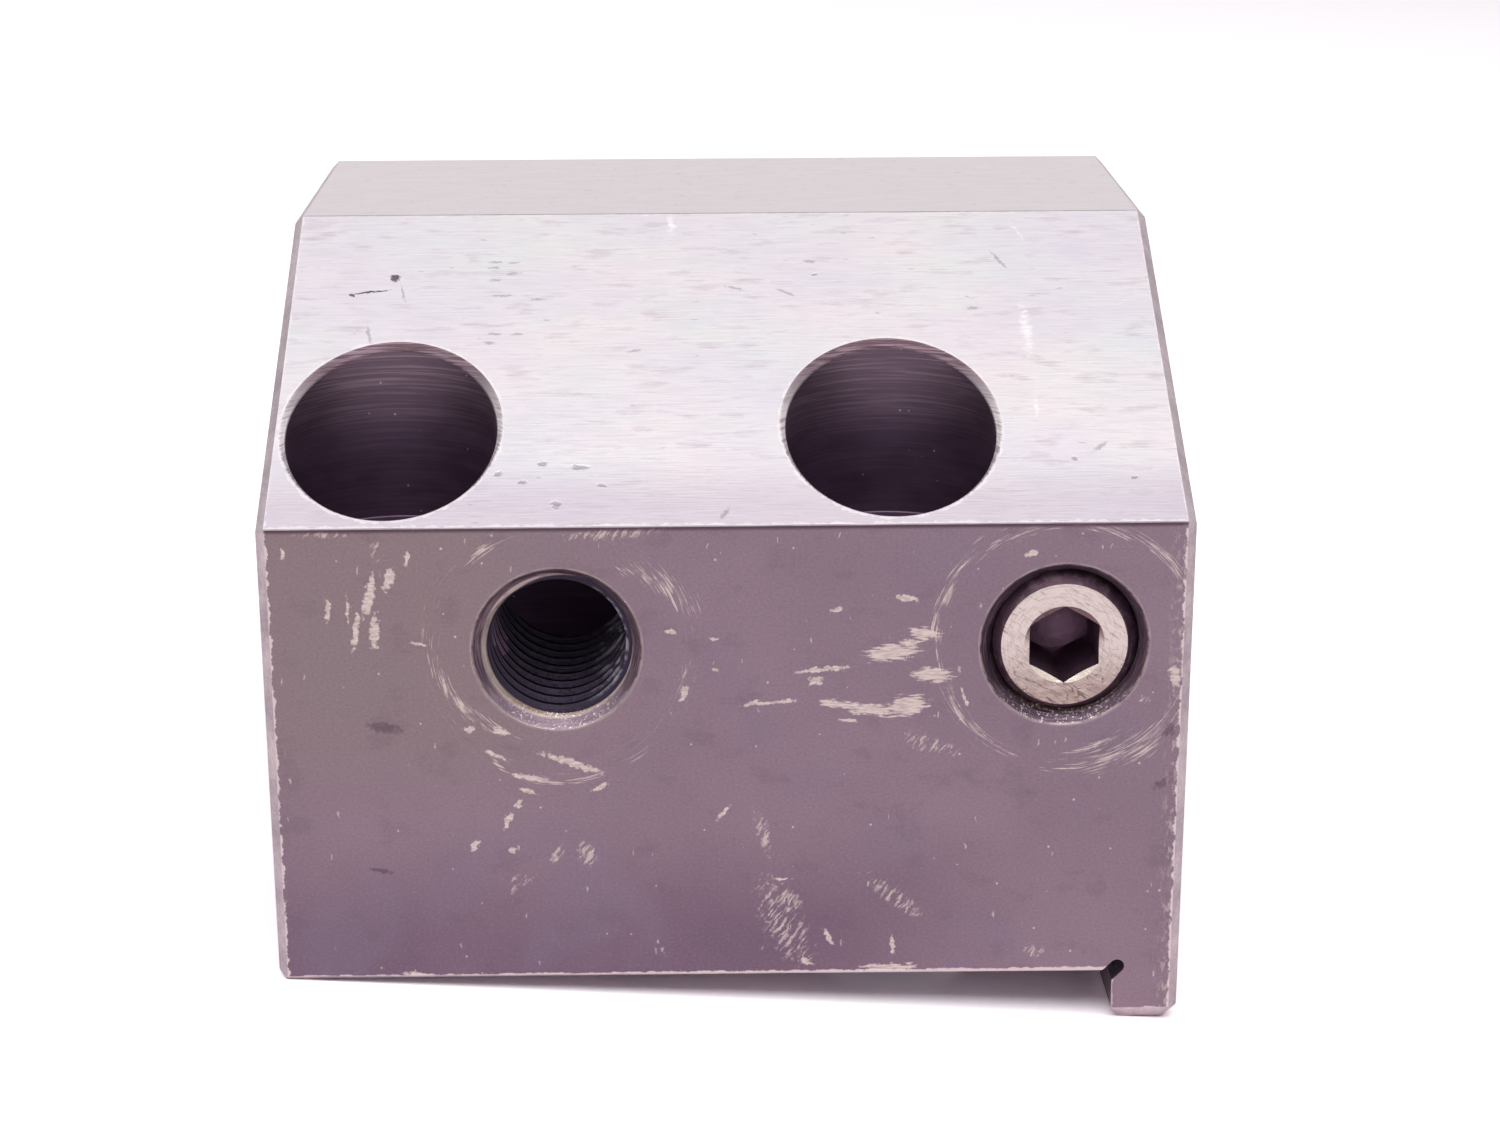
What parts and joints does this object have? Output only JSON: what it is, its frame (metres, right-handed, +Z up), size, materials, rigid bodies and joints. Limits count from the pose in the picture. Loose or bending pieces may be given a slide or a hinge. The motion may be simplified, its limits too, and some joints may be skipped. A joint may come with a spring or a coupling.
{
  "type": "boring bar holder",
  "caption": "Steel block that bolts to a machine's tool face, located by a lip along one side, and clamps a round boring bar in its cross bore with set screws from the front.",
  "frame": {"origin": "on the flat mounting face underneath, below the middle of the bar bore", "axes": "+X along the bar bore towards the side with the lip, +Y from the clamping face with the screws to the back, +Z up from the mounting face"},
  "size_m": [0.08, 0.066, 0.0666],
  "materials": {
    "block_steel": "blackened front, sides and holes; ground slope and top; worn edges",
    "screw_steel": "blackened, worn bright on the socket face"
  },
  "bodies": {
    "holder": {"holder_block": "block_steel"},
    "screw": {"set_screw": "screw_steel"}
  },
  "joints": [
    {"name": "screw_feed", "type": "slide", "parent": "holder", "child": "screw", "axis": [0, 1, 0], "range_m": [-0.008, 0.008]}
  ]
}
